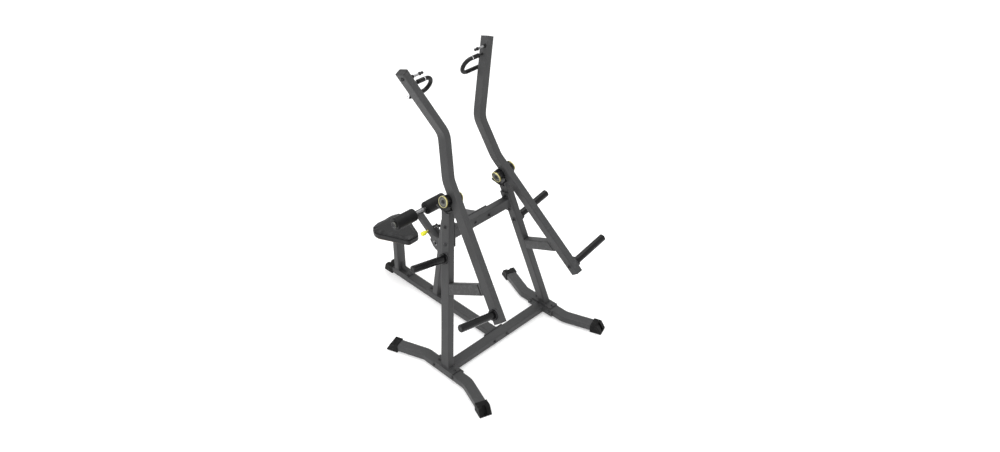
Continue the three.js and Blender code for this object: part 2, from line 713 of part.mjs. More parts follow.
for (const { name, hand } of SIDES) {
  const side = sideGroup(hand);
  const out = (distance) => hand * (SIDE_OUT + distance);
  const leanBack = -deg(UPRIGHT_LEAN);

  // Upright, with its base plate on the foot and the saddle for the bearings on top
  const saddleFrame = new THREE.Matrix4()
    .makeTranslation(out(0), PIVOT_Y, PIVOT_UP)
    .multiply(new THREE.Matrix4().makeRotationX(deg(HOUSING_TILT)));
  const saddleWidth = TUBE_NARROW + 2 * (HOUSING_THICK + 4);
  const saddle = box(saddleWidth, SADDLE_LENGTH, PLATE);
  saddle.translate(0, 0, -HOUSING_HEIGHT - GAP - PLATE / 2).applyMatrix4(saddleFrame);
  const above = box(BIG, BIG, BIG).translate(0, 0, -HOUSING_HEIGHT - GAP - PLATE / 2 + BIG / 2);
  above.applyMatrix4(saddleFrame);
  const standing = TUBE_TOP + GAP;
  const below = seenFromSide(
    box(BIG, BIG, BIG).translate(0, 0, standing + PLATE / 2 - BIG / 2), hand);
  const column = centredPrism(tubeSection(TUBE_NARROW, TUBE_WIDE), 2 * RUN).rotateX(leanBack);
  column.translate(out(0), UPRIGHT_FOOT_Y, 0);
  const footY = uprightY(-SIDE_OUT * sin(deg(SIDE_TILT)));
  const basePlate = seenFromSide(
    box(TUBE_WIDE, BASE_PLATE_LENGTH, PLATE).translate(hand * FOOT_X, footY + 10, standing + PLATE / 2),
    hand);
  const vent = new THREE.CylinderGeometry(9, 9, 4 * PLATE, 16).rotateX(PI / 2);
  vent.translate(0, 0, -HOUSING_HEIGHT - PLATE / 2).applyMatrix4(saddleFrame);
  const upright = cut(join(cut(column, above, below), basePlate, saddle), vent);
  add(side, `${name}_upright`, upright, FRAME_PAINT);

  // Stop: a short tube from the upright to the back of the arm
  const rise = deg(STOP_RISE);
  const alongArm = deg(ARM_LOWER_LEAN);
  const stopTube = centredPrism(tubeSection(TUBE_NARROW, TUBE_WIDE), RUN).rotateX(PI / 2 - rise);
  stopTube.translate(out(0), STOP_Y, STOP_UP);
  const ahead = box(BIG, BIG, BIG).translate(0, -BIG / 2, 0).rotateX(-alongArm);
  ahead.translate(out(0), STOP_Y, STOP_UP);
  const behind = box(BIG, BIG, 3 * BIG).translate(0, BIG / 2 - TUBE_WIDE / 2 - GAP, 0).rotateX(leanBack);
  behind.translate(out(0), UPRIGHT_FOOT_Y, 0);
  add(side, `${name}_stop`, cut(stopTube, ahead, behind), FRAME_PAINT);

  const bumperHeight = TUBE_WIDE / cos(PI / 2 - rise - alongArm) - 4;
  const pad = roundedRectangle(TUBE_NARROW - 4, bumperHeight, 6);
  const bumper = prism(pad, BUMPER_THICK).rotateX(PI / 2).rotateX(-alongArm);
  const forward = new THREE.Vector3(0, -cos(alongArm), sin(alongArm));
  bumper.translate(out(0), STOP_Y + GAP * forward.y, STOP_UP + GAP * forward.z);
  add(side, `${name}_bumper`, bumper, RUBBER);

  const storage = toward(horn(STORAGE_HORN), hand);
  storage.translate(out(TUBE_NARROW / 2 + GAP), uprightY(STORAGE_HORN_UP), STORAGE_HORN_UP);
  add(side, `${name}_storage_horn`, storage, BLACK_PAINT);

  // Bearing housings either side of the arm, the rings at their outer faces, and the axle
  const housingSide = roundedPolygon([
    [-HOUSING_RADIUS, -HOUSING_HEIGHT, 2],
    [HOUSING_RADIUS, -HOUSING_HEIGHT, 2],
    [HOUSING_RADIUS, HOUSING_RADIUS, HOUSING_RADIUS - 0.5],
    [-HOUSING_RADIUS, HOUSING_RADIUS, HOUSING_RADIUS - 0.5],
  ]);
  const near = TUBE_NARROW / 2 + 2; // inner face of a housing, from the arm's middle
  const far = near + HOUSING_THICK;
  const bore = drill(AXLE_DIAMETER / 2 + GAP);
  for (const [place, way] of [['outer', hand], ['inner', -hand]]) {
    const middle = way * (near + HOUSING_THICK / 2);
    const block = centredPrism(housingSide, HOUSING_THICK, 4).rotateY(PI / 2).rotateX(PI / 2);
    const housing = add(side, `${name}_${place}_bearing`,
      cut(block.translate(middle, 0, 0), bore), BLACK_PAINT);
    housing.position.set(out(0), PIVOT_Y, PIVOT_UP);
    housing.rotation.x = deg(HOUSING_TILT);
    const ring = hoop(far + GAP, far + RING_THICK, RING_DIAMETER / 2 - RING_WIDTH, RING_DIAMETER / 2, 1.5);
    const ringMesh = add(side, `${name}_${place}_ring`, way > 0 ? ring : ring.rotateY(PI), ZINC);
    ringMesh.position.set(out(0), PIVOT_Y, PIVOT_UP);
  }
  const headRadius = RING_DIAMETER / 2 - RING_WIDTH - GAP;
  const headEnd = far + RING_THICK - 3;
  const axle = join(
    disc(-headEnd + 1, headEnd - 1, AXLE_DIAMETER / 2),
    disc(far + GAP, headEnd, headRadius, 1.5),
    disc(-headEnd, -far - GAP, headRadius, 1.5),
  );
  add(side, `${name}_axle`, axle, BLACK_PAINT).position.set(out(0), PIVOT_Y, PIVOT_UP);

  // ---- Lever arm -------------------------------------------------------------------------------

  const vector = ([o, y, up]) => new THREE.Vector3(out(o), y, up);
  const armCorners = [armEnd, armBend, armKink, armTop].map(vector);
  const bar = sweep(tubeSection(TUBE_NARROW, TUBE_WIDE), armCorners, ARM_BEND_RADIUS);
  const pivotTube = roundAboutX(PIVOT_TUBE_DIAMETER / 2, TUBE_NARROW + 2);
  pivotTube.translate(out(0), PIVOT_Y, PIVOT_UP);
  const pivotBore = drill(AXLE_DIAMETER / 2 + FIT).translate(out(0), PIVOT_Y, PIVOT_UP);
  // the lug on the arm's back that meets the bumper
  const backward = forward.clone().negate();
  const stopPoint = new THREE.Vector3(out(0), STOP_Y, STOP_UP);
  const fromArm = stopPoint.clone().sub(vector(armEnd)).dot(backward); // stop to arm's middle line
  const lugThick = fromArm - TUBE_WIDE / 2 - BUMPER_THICK - 2 * GAP;
  const lug = centredPrism(roundedRectangle(TUBE_NARROW - 2, bumperHeight, 4), lugThick + 1.5);
  lug.rotateX(PI / 2).rotateX(-alongArm);
  const lugMiddle = BUMPER_THICK + 2 * GAP + (lugThick + 1.5) / 2;
  lug.translate(out(0), STOP_Y + forward.y * lugMiddle, STOP_UP + forward.z * lugMiddle);
  const studRoot = armFace(HANDLE_Z, -1);
  const studBore = drill(STUD_DIAMETER / 2 + GAP, 2 * (STUD_ANCHOR + GAP), hand * studRoot);
  studBore.translate(0, HANDLE_Y, HANDLE_Z);
  const arm = cut(join(bar, pivotTube, lug), pivotBore, seenFromSide(studBore, hand));
  add(side, `${name}_arm`, arm, FRAME_PAINT);

  // Plugs in both ends of the arm
  const plug = () => join(
    prism(roundedRectangle(TUBE_NARROW, TUBE_WIDE, TUBE_CORNER), 4).translate(0, 0, GAP),
    prism(roundedRectangle(TUBE_NARROW - 2 * TUBE_WALL - 1, TUBE_WIDE - 2 * TUBE_WALL - 1, 4), 20)
      .translate(0, 0, -18),
  );
  const lowPlug = add(side, `${name}_arm_lower_plug`, plug(), RUBBER);
  lowPlug.position.copy(vector(armEnd));
  lowPlug.rotation.x = PI - lowerLean;
  const topPlug = add(side, `${name}_arm_top_plug`, plug(), RUBBER);
  topPlug.position.copy(vector(armTop));
  topPlug.rotation.set(-upperLean, hand * flare, 0);

  const hornY = armEnd[1] + WEIGHT_HORN_INSET * sin(lowerLean);
  const hornUp = armEnd[2] + WEIGHT_HORN_INSET * cos(lowerLean);
  const weightHorn = toward(horn(WEIGHT_HORN), hand);
  weightHorn.translate(out(TUBE_NARROW / 2 + GAP), hornY, hornUp);
  add(side, `${name}_weight_horn`, weightHorn, BLACK_PAINT);

  // ---- Handle ----------------------------------------------------------------------------------

  const hubStart = HUB_START + GAP;
  const hubEnd = HUB_START + HUB_LENGTH;
  const studStart = hubStart + HUB_FLOOR;
  const stud = disc(studStart, studRoot + STUD_ANCHOR, STUD_DIAMETER / 2);
  add(machine, `${name}_handle_stud`, toward(stud, hand), BLACK_PAINT)
    .position.set(0, HANDLE_Y, HANDLE_Z);

  const handle = new THREE.Group();
  handle.position.set(0, HANDLE_Y, HANDLE_Z);
  handle.rotation.x = deg(GRIP_LEAN);
  machine.add(handle);
  const hub = cut(
    turned([
      [hubStart, 0],
      [hubStart, HUB_RADIUS - 2],
      [hubStart + 2, HUB_RADIUS],
      [hubEnd - 2, HUB_RADIUS],
      [hubEnd, HUB_RADIUS - 2],
      [hubEnd, 0],
    ]),
    drill(STUD_DIAMETER / 2 + FIT, BIG, studStart - GAP + BIG / 2),
  );
  add(handle, `${name}_handle_hub`, toward(hub, hand), FRAME_PAINT);

  const drop = 2 * GRIP_BEND;
  const gripLine = [
    new THREE.Vector3(hand * HUB_START, 0, 0),
    new THREE.Vector3(hand * (GRIP_BEND_X - GRIP_BEND), 0, 0),
    new THREE.Vector3(hand * (GRIP_BEND_X - GRIP_BEND), 0, -drop),
    new THREE.Vector3(hand * (GRIP_BEND_X + GRIP_LEG), 0, -drop),
  ];
  const gripSection = new THREE.Shape().absarc(0, 0, GRIP_DIAMETER / 2, 0, 2 * PI);
  add(handle, `${name}_grip`, sweep(gripSection, gripLine, GRIP_BEND - 0.01, 7, 6), RUBBER);
  const capStart = GRIP_BEND_X + GRIP_LEG + GAP;
  const gripCap = disc(capStart, capStart + GRIP_CAP_LENGTH, GRIP_DIAMETER / 2 - 1, 3);
  add(handle, `${name}_grip_cap`, toward(gripCap, hand), CHROME).position.z = -drop;

  // Ball-ended peg above the handle
  const pegRoot = armFace(PEG_Z, -1) + PEG_DIAMETER;
  const ball = PEG_BALL / 2;
  const neck = Math.asin(PEG_NECK / ball);
  const collarStart = PEG_BALL_X + ball + PEG_NECK_LENGTH;
  const profile = [
    [pegRoot, 0],
    [pegRoot, PEG_DIAMETER / 2],
    [collarStart + PEG_COLLAR_THICK, PEG_DIAMETER / 2],
    [collarStart + PEG_COLLAR_THICK, PEG_COLLAR / 2],
    [collarStart, PEG_COLLAR / 2],
    [collarStart, PEG_NECK],
  ];
  for (let k = 0; k <= BALL_STEPS; k += 1) {
    const turn = neck + ((PI - neck) * k) / BALL_STEPS;
    profile.push([PEG_BALL_X + ball * cos(turn), ball * sin(turn)]);
  }
  profile[profile.length - 1][1] = 0;
  const peg = toward(turned(profile, 12), hand).translate(0, PEG_Y, PEG_Z);
  const armCopy = sweep(roundedRectangle(TUBE_NARROW + 2 * GAP, TUBE_WIDE + 2 * GAP, TUBE_CORNER),
    armCorners, ARM_BEND_RADIUS);
  add(side, `${name}_peg`, cut(seenFromSide(peg, hand), armCopy), CHROME);
}

// ---- Origin: the middle of the footprint, on the floor -----------------------------------------

const bounds = new THREE.Box3().setFromObject(machine, true);
machine.position.y = -(bounds.min.y + bounds.max.y) / 2;

export default machine;
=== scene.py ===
import math

import bmesh
import bpy
from mathutils import Matrix, Vector


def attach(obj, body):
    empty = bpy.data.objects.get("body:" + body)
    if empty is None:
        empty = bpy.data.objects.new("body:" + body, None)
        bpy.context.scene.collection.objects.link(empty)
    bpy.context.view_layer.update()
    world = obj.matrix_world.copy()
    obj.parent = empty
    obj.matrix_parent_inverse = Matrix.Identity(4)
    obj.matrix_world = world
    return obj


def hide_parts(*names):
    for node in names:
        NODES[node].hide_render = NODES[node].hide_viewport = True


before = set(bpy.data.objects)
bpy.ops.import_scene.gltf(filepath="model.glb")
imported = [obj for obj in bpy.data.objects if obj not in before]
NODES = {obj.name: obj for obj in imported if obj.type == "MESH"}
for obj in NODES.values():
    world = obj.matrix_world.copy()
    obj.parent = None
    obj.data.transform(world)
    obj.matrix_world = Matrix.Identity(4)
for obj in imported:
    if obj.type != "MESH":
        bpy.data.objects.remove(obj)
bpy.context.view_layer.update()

STOCK = bpy.context.scene.collection
SIDES = (("left", -1), ("right", 1))
SQUARE = ((-1, -1), (1, -1), (1, 1), (-1, 1))

# sizes of the CAD drawing, in its millimetres
GAP = 0.3  # between pieces that touch
PLATE = 8
TUBE_WIDE, TUBE_NARROW = 75, 50
TUBE_TOP = 58  # of the tubes along the floor
TUBE_MIDDLE = TUBE_TOP - TUBE_NARROW / 2
FLOOR_PLATE_TOP = TUBE_TOP + GAP + PLATE
FOOT_X = 475
SIDE_OUT = 476  # middle of the upright and the lever in their side plane
OUTER_FACE = SIDE_OUT + TUBE_NARROW / 2
INNER_FACE = SIDE_OUT - TUBE_NARROW / 2
INNER_PLATE_FACE = INNER_FACE - GAP - PLATE
FOOT_PLATE_FACE = FOOT_X - TUBE_WIDE / 2 - GAP - PLATE
BEAM_Y, BEAM_Z = 158, 955
BEAM_BOLT_Z = 952.5
BASE_BOLT_Z = 34
SEAT_POST_Y = 1031
SEAT_PLATE_BASE = 363.4
PIVOT_Y, PIVOT_UP = 173, 1120
STORAGE_Y, STORAGE_UP, STORAGE_LENGTH = 130.8, 725, 276
WEIGHT_ALONG, WEIGHT_LENGTH = 880, 292  # the weight horn's place down the lever, and its length
LEVER_RAKE = math.radians(40)
WEIGHT_Y = 218 - WEIGHT_ALONG * math.sin(LEVER_RAKE)
WEIGHT_UP = 1235 - WEIGHT_ALONG * math.cos(LEVER_RAKE)
GRIP_Y, GRIP_Z = 415, 1932
PEG_Y, PEG_Z = 407, 1984
HINGE_Y, HINGE_Z = 582, 539
ROLLER_ALONG, ROLLER_RISE = 246, 22  # of the roller's axis in the hold-down's own frame
PIN_ALONG = 99

TILT = math.radians(12)  # inward lean of each side plane
RISE = math.radians(36)  # of the hold-down at rest
BACK = -0.3446735  # the drawing's y = 0 in the row frame, in metres

# bolts: the head's radius and height and the washer's radius, in metres
FRAME_BOLT = (0.0085, 0.007, 0.0125)
FOOT_BOLT = (0.0075, 0.006, 0.011)
SEAT_BOLT = (0.0065, 0.005, 0.0095)
HORN_BOLT = (0.01, 0.008, 0.016)
BEARING_BOLT = (0.006, 0.005, 0.009)
AXLE_BOLT = (0.0095, 0.0055, 0.0145)
PEG_BOLT = (0.0085, 0.006, 0.012)
WASHER_THICK = 0.0022

BEAD_RADIUS = 0.0028
WELD_STEP = 0.004  # between the rings of a weld bead
COLLAR_WELD = 0.0362  # radius of the weld round a horn's collar

# the seat cover, in metres
SEAT_BOTTOM, SEAT_TOP = 0.384, 0.440
SEAM = SEAT_TOP - 0.015
STITCH_DROP = 0.0085  # of the stitches below the seam


# ---- places -------------------------------------------------------------------------------

def drawn(x, y, z):
    """A place in the CAD drawing, in millimetres, as a place in the row frame."""
    return Vector((x / 1000, y / 1000 + BACK, z / 1000))


def leaned(hand, out, up):
    """The x and z of a side plane's out and up."""
    return (hand * (out * math.cos(TILT) - up * math.sin(TILT)),
            out * math.sin(TILT) + up * math.cos(TILT))


def side(hand, out, y, up):
    """A point of a side plane, in millimetres, as a place in the row frame."""
    x, z = leaned(hand, out, up)
    return drawn(x, y, z)


def side_way(hand, out, y, up):
    """A direction of a side plane in the row frame."""
    x, z = leaned(hand, out, up)
    return Vector((x, y, z)).normalized()


def hold(x, y, z):
    """A point in the hold-down's own frame, in millimetres, as a place in the row frame."""
    return drawn(x, HINGE_Y + y * math.cos(RISE) - z * math.sin(RISE),
                 HINGE_Z + y * math.sin(RISE) + z * math.cos(RISE))


def aimed(place, axis):
    """The matrix that carries +Z at the origin to the axis at a place."""
    turn = Vector(axis).to_track_quat("Z", "Y").to_matrix().to_4x4()
    return Matrix.Translation(Vector(place)) @ turn


# ---- materials ----------------------------------------------------------------------------

class Tree:
    """One material's node tree, with the few kinds of node that a finish is mixed from."""

    def __init__(self, name):
        self.material = bpy.data.materials.new(name)
        self.material.use_nodes = True
        self.shader = self.material.node_tree.nodes["Principled BSDF"]
        self.place = self.new("ShaderNodeTexCoord").outputs["Object"]

    def new(self, kind):
        return self.material.node_tree.nodes.new(kind)

    def join(self, source, socket):
        self.material.node_tree.links.new(source, socket)

    def noise(self, scale, detail):
        node = self.new("ShaderNodeTexNoise")
        node.inputs["Scale"].default_value = scale
        node.inputs["Detail"].default_value = detail
        node.inputs["Roughness"].default_value = 0.55
        self.join(self.place, node.inputs["Vector"])
        return node.outputs["Fac"]

    def ramp(self, source, low, high):
        """Black up to the low value and white from the high one."""
        node = self.new("ShaderNodeValToRGB")
        node.color_ramp.elements[0].position = low
        node.color_ramp.elements[1].position = high
        self.join(source, node.inputs["Fac"])
        return node.outputs["Color"]

    def blend(self, factor, a, b):
        node = self.new("ShaderNodeMix")
        node.data_type = "RGBA"
        self.join(factor, node.inputs["Factor"])
        for socket, value in ((node.inputs["A"], a), (node.inputs["B"], b)):
            if isinstance(value, tuple):
                socket.default_value = (*value, 1)
            else:
                self.join(value, socket)
        return node.outputs["Result"]

    def product(self, a, b):
        node = self.new("ShaderNodeMath")
        node.operation = "MULTIPLY"
        self.join(a, node.inputs[0])
        self.join(b, node.inputs[1])
        return node.outputs[0]

    def bump(self, height, strength, depth):
        node = self.new("ShaderNodeBump")
        node.inputs["Strength"].default_value = strength
        node.inputs["Distance"].default_value = depth
        self.join(height, node.inputs["Height"])
        return node

    def worn_edges(self):
        """A factor that is high on patches of the mesh's outer edges."""
        edge = self.ramp(self.new("ShaderNodeNewGeometry").outputs["Pointiness"], 0.55, 0.64)
        return self.product(edge, self.ramp(self.noise(60, 6), 0.5, 0.7))

    def plies(self):
        layers = self.new("ShaderNodeTexWave")
        layers.bands_direction = "Z"
        layers.inputs["Scale"].default_value = 190
        layers.inputs["Distortion"].default_value = 1.5
        self.join(self.place, layers.inputs["Vector"])
        return layers.outputs["Fac"]

    def cells(self, scale, feature):
        node = self.new("ShaderNodeTexVoronoi")
        node.feature = feature
        node.inputs["Scale"].default_value = scale
        self.join(self.place, node.inputs["Vector"])
        return node.outputs["Distance"]


def finish(name, dark, light, rough=(0.4, 0.55), grain=600, depth=0.0002, strength=0.4, metal=0.0,
           texture="noise", cloud=7, worn=None, coat=0.0, specks=0.0, ior=1.5):
    """A procedural material: clouded colour, a fine surface texture, wear on edges, and specks."""
    tree = Tree(name)
    shader = tree.shader.inputs
    shader["Metallic"].default_value = metal
    shader["IOR"].default_value = ior
    shader["Coat Weight"].default_value = coat
    shader["Coat Roughness"].default_value = 0.2

    fine = tree.noise(grain, 2)
    colour = tree.blend(tree.ramp(tree.noise(cloud, 5), 0.32, 0.68), dark, light)
    if specks:
        pale = tuple(min(1.0, c * (1 + specks)) for c in light)
        colour = tree.blend(tree.ramp(fine, 0.55, 0.72), colour, pale)
    if worn:
        colour = tree.blend(tree.worn_edges(), colour, worn)
    if texture == "ply":
        colour = tree.blend(tree.plies(), colour, tuple(c * 0.5 for c in dark))
    tree.join(colour, shader["Base Color"])

    span = tree.new("ShaderNodeMapRange")
    span.inputs["To Min"].default_value, span.inputs["To Max"].default_value = rough
    tree.join(tree.noise(cloud * 3.1, 6), span.inputs["Value"])
    tree.join(span.outputs["Result"], shader["Roughness"])

    height = fine
    if texture == "cells":
        height = tree.cells(grain, "F1")
    if texture == "leather":
        height = tree.ramp(tree.cells(grain, "DISTANCE_TO_EDGE"), 0.0, 0.16)
    bump = tree.bump(height, strength, depth)
    if texture == "leather":
        creases = tree.bump(tree.noise(26, 3), 0.35, 0.0012)
        tree.join(creases.outputs["Normal"], bump.inputs["Normal"])
    tree.join(bump.outputs["Normal"], shader["Normal"])
    return tree.material


PAINT = finish("charcoal_powder_coat", (0.036, 0.0363, 0.037), (0.042, 0.0423, 0.043), rough=(0.4, 0.5),
               grain=620, depth=0.00025, strength=0.3, worn=(0.07, 0.07, 0.072), specks=0.5, ior=1.36)
BLACK = finish("black_powder_coat", (0.0035, 0.0035, 0.0038), (0.006, 0.006, 0.0063), rough=(0.2, 0.32),
               grain=800, depth=0.0002, strength=0.3, worn=(0.03, 0.03, 0.031), ior=1.3)
STEEL = finish("dark_steel", (0.022, 0.022, 0.023), (0.045, 0.045, 0.047), rough=(0.3, 0.48), grain=420,
               depth=0.0001, metal=0.75, cloud=30, worn=(0.2, 0.2, 0.205))
DISC = finish("grey_steel_disc", (0.1, 0.1, 0.09), (0.16, 0.16, 0.145), rough=(0.32, 0.5), grain=500,
              depth=0.0001, metal=0.6, cloud=40, worn=(0.3, 0.3, 0.28))
ZINC = finish("yellow_zinc", (0.6, 0.55, 0.24), (0.74, 0.69, 0.34), rough=(0.26, 0.42), grain=300,
              depth=0.0001, metal=0.4, cloud=26, worn=(0.85, 0.82, 0.6))
BRASSY = finish("olive_zinc", (0.2, 0.17, 0.05), (0.3, 0.26, 0.08), rough=(0.3, 0.45), grain=300,
                depth=0.0001, metal=0.5, cloud=26, worn=(0.45, 0.4, 0.2))
GREY = finish("grey_steel", (0.2, 0.2, 0.205), (0.3, 0.3, 0.305), rough=(0.22, 0.34), grain=300,
              depth=0.0001, metal=0.9, cloud=30, worn=(0.5, 0.5, 0.5))
CHROME = finish("chrome", (0.62, 0.62, 0.63), (0.78, 0.78, 0.79), rough=(0.08, 0.22), grain=240,
                depth=0.00004, strength=0.2, metal=1.0, cloud=18)
RUBBER = finish("black_rubber", (0.0015, 0.0015, 0.0015), (0.0035, 0.0035, 0.0035), rough=(0.5, 0.68),
                grain=520, depth=0.0003, strength=0.4, worn=(0.02, 0.02, 0.02), cloud=12, ior=1.25)
GRIP = finish("grip_rubber", (0.005, 0.005, 0.005), (0.009, 0.009, 0.009), rough=(0.36, 0.5), grain=460,
              depth=0.0005, strength=0.5, texture="cells", cloud=16, ior=1.3)
FOAM = finish("foam_rubber", (0.0025, 0.0025, 0.0027), (0.0055, 0.0055, 0.0058), rough=(0.42, 0.58),
              grain=620, depth=0.0006, strength=0.6, texture="cells", cloud=22, specks=0.4, ior=1.28)
VINYL = finish("black_vinyl", (0.0085, 0.0085, 0.009), (0.0125, 0.0125, 0.013), rough=(0.34, 0.48),
               grain=330, depth=0.00025, strength=0.45, texture="leather", cloud=10, ior=1.34)
THREAD = finish("dark_thread", (0.03, 0.03, 0.031), (0.06, 0.06, 0.061), rough=(0.6, 0.8), grain=1800,
                depth=0.0003, cloud=200, ior=1.3)
PLY = finish("plywood", (0.17, 0.11, 0.06), (0.3, 0.2, 0.11), rough=(0.6, 0.78), grain=180, depth=0.0004,
             texture="ply", cloud=9)
KNOB = finish("yellow_plastic", (0.7, 0.69, 0.015), (0.8, 0.79, 0.025), rough=(0.28, 0.42), grain=340,
              depth=0.0002, strength=0.3, cloud=30, worn=(0.9, 0.88, 0.2), coat=0.15)
PLASTIC = finish("black_plastic", (0.013, 0.013, 0.0135), (0.022, 0.022, 0.0225), rough=(0.42, 0.58),
                 grain=700, depth=0.0002, cloud=18, worn=(0.04, 0.04, 0.04), ior=1.33)
WELD = finish("painted_weld", (0.036, 0.036, 0.038), (0.055, 0.055, 0.058), rough=(0.36, 0.5), grain=260,
              depth=0.0006, strength=0.6, cloud=90, ior=1.36)
FLOOR = finish("pale_floor", (0.80, 0.80, 0.80), (0.83, 0.83, 0.83), rough=(0.6, 0.75), grain=90,
               depth=0.0004, strength=0.15, cloud=1.2)
FLOOR.node_tree.nodes["Principled BSDF"].inputs["Emission Color"].default_value = (1, 1, 1, 1)
FLOOR.node_tree.nodes["Principled BSDF"].inputs["Emission Strength"].default_value = 0.3


# ---- mesh building --------------------------------------------------------------------------

def piece(name, bm, mat, body, smooth=35):
    """Makes one object of a bmesh, smooth but for its sharp edges, that rides on a body."""
    bmesh.ops.remove_doubles(bm, verts=bm.verts, dist=0.000001)
    bmesh.ops.recalc_face_normals(bm, faces=bm.faces)
    mesh = bpy.data.meshes.new(name)
    bm.to_mesh(mesh)
    bm.free()
    mesh.materials.append(mat)
    mesh.shade_smooth()
    mesh.set_sharp_from_angle(angle=math.radians(smooth))
    obj = bpy.data.objects.new(name, mesh)
    STOCK.objects.link(obj)
    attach(obj, body)
    return obj


def lathe(bm, profile, place, axis, steps=40, flutes=0, cut=0.0):
    """Turns [along, radius] points about an axis. Radius 0 at both ends closes the form."""
    where = aimed(place, axis)
    rings = []
    for along, radius in profile:
        if radius == 0:
            rings.append([bm.verts.new(where @ Vector((0, 0, along)))])
            continue
        ring = []
        for k in range(steps):
            angle = 2 * math.pi * k / steps
            wave = radius * (1 - cut * (0.5 - 0.5 * math.cos(flutes * angle)))
            spot = Vector((wave * math.cos(angle), wave * math.sin(angle), along))
            ring.append(bm.verts.new(where @ spot))
        rings.append(ring)
    for a, b in zip(rings, rings[1:]):
        for k in range(steps):
            n = (k + 1) % steps
            if len(a) == 1:
                bm.faces.new((a[0], b[k], b[n]))
            elif len(b) == 1:
                bm.faces.new((a[k], a[n], b[0]))
            else:
                bm.faces.new((a[k], a[n], b[n], b[k]))


def turned(name, profile, mat, place, axis, body, steps=40, smooth=35):
    """A piece of one lathed form."""
    bm = bmesh.new()
    lathe(bm, profile, place, axis, steps)
    return piece(name, bm, mat, body, smooth)


def bolt(bm, place, axis, size=FRAME_BOLT, shank=True):
    """A hexagon head on its washer, standing on a face at a place, with its bolt's end above it."""
    head, thick, washer = size
    lathe(bm, [(0, 0), (0, washer), (WASHER_THICK - 0.0004, washer), (WASHER_THICK, washer - 0.0006),
               (WASHER_THICK, 0)], place, axis, 24)
    top = WASHER_THICK + thick
    lathe(bm, [(WASHER_THICK, 0), (WASHER_THICK, head), (top - 0.0016, head), (top, head * 0.86),
               (top, 0)], place, axis, 6)
    if shank:
        end = top + 0.003
        lathe(bm, [(top - 0.001, 0), (top - 0.001, head * 0.5), (end - 0.0008, head * 0.5),
                   (end, head * 0.4), (end, 0)], place, axis, 14)


def tube(bm, points, radius, sides, closed=True, ripple=0.0):
    """Sweeps a round along points. The radius may ripple, as a weld bead's does."""
    count = len(points)
    rings = []
    normal = None
    for i, p in enumerate(points):
        if closed:
            ahead = points[(i + 1) % count] - points[i - 1]
        else:
            ahead = points[min(i + 1, count - 1)] - points[max(i - 1, 0)]
        ahead = ahead.normalized()
        if normal is None:
            normal = ahead.orthogonal().normalized()
        normal = (normal - ahead * normal.dot(ahead)).normalized()
        other = ahead.cross(normal)
        r = radius * (1 + ripple * math.sin(i * 2.1))
        turns = [2 * math.pi * k / sides for k in range(sides)]
        rings.append([bm.verts.new(p + normal * (r * math.cos(a)) + other * (r * math.sin(a)))
                      for a in turns])
    pairs = list(zip(rings, rings[1:]))
    if closed:
        # the last ring joins the first with the turn that fits it best
        last, first = rings[-1], rings[0]
        shift = min(range(sides), key=lambda s: (first[s].co - last[0].co).length)
        pairs.append((last, first[shift:] + first[:shift]))
    for a, b in pairs:
        for k in range(sides):
            n = (k + 1) % sides
            bm.faces.new((a[k], a[n], b[n], b[k]))
    if not closed:
        bm.faces.new(rings[0][::-1])
        bm.faces.new(rings[-1])


def outline(corners, rounding=0.007):
    """Evenly spaced points round a closed polygon whose corners are rounded."""
    path = []
    count = len(corners)
    for i, corner in enumerate(corners):
        before = (corners[i - 1] - corner).normalized()
        after = (corners[(i + 1) % count] - corner).normalized()
        for k in range(5):
            t = k / 4
            path.append(corner + before * rounding * (1 - t) ** 2 + after * rounding * t ** 2)
    points = []
    for a, b in zip(path, path[1:] + path[:1]):
        number = max(1, round((b - a).length / WELD_STEP))
        points += [a.lerp(b, k / number) for k in range(number)]
    return points


def bead(bm, points, radius=BEAD_RADIUS):
    tube(bm, points, radius, 7, ripple=0.16)


def collar_bead(bm, place, axis):
    """A weld bead round the foot of a horn's collar."""
    where = aimed(place, axis)
    steps = max(24, round(COLLAR_WELD * 2 * math.pi / WELD_STEP))
    bead(bm, [where @ Vector((COLLAR_WELD * math.cos(2 * math.pi * k / steps),
                              COLLAR_WELD * math.sin(2 * math.pi * k / steps), 0)) for k in range(steps)])


# ---- the carried CAD nodes ------------------------------------------------------------------

def soft_shading():
    """A modifier that joins a CAD node's split corners and shades its rounds smoothly."""
    group = bpy.data.node_groups.new("smooth_rounds", "GeometryNodeTree")
    group.interface.new_socket(name="Geometry", in_out="INPUT", socket_type="NodeSocketGeometry")
    group.interface.new_socket(name="Geometry", in_out="OUTPUT", socket_type="NodeSocketGeometry")
    new, join = group.nodes.new, group.links.new
    start, end = new("NodeGroupInput"), new("NodeGroupOutput")
    drop = new("GeometryNodeRemoveAttribute")
    drop.inputs["Name"].default_value = "custom_normal"
    weld = new("GeometryNodeMergeByDistance")
    weld.inputs["Distance"].default_value = 0.00001
    faces = new("GeometryNodeSetShadeSmooth")
    faces.domain = "FACE"
    edges = new("GeometryNodeSetShadeSmooth")
    edges.domain = "EDGE"
    angle = new("GeometryNodeInputMeshEdgeAngle")
    sharp = new("FunctionNodeCompare")
    sharp.data_type = "FLOAT"
    sharp.operation = "GREATER_THAN"
    sharp.inputs["B"].default_value = math.radians(34)
    edges.inputs["Shade Smooth"].default_value = False
    join(start.outputs[0], drop.inputs["Geometry"])
    join(drop.outputs["Geometry"], weld.inputs["Geometry"])
    join(weld.outputs["Geometry"], faces.inputs["Geometry"])
    join(angle.outputs["Unsigned Angle"], sharp.inputs["A"])
    join(sharp.outputs["Result"], edges.inputs["Selection"])
    join(faces.outputs["Geometry"], edges.inputs["Geometry"])
    join(edges.outputs["Geometry"], end.inputs[0])
    return group


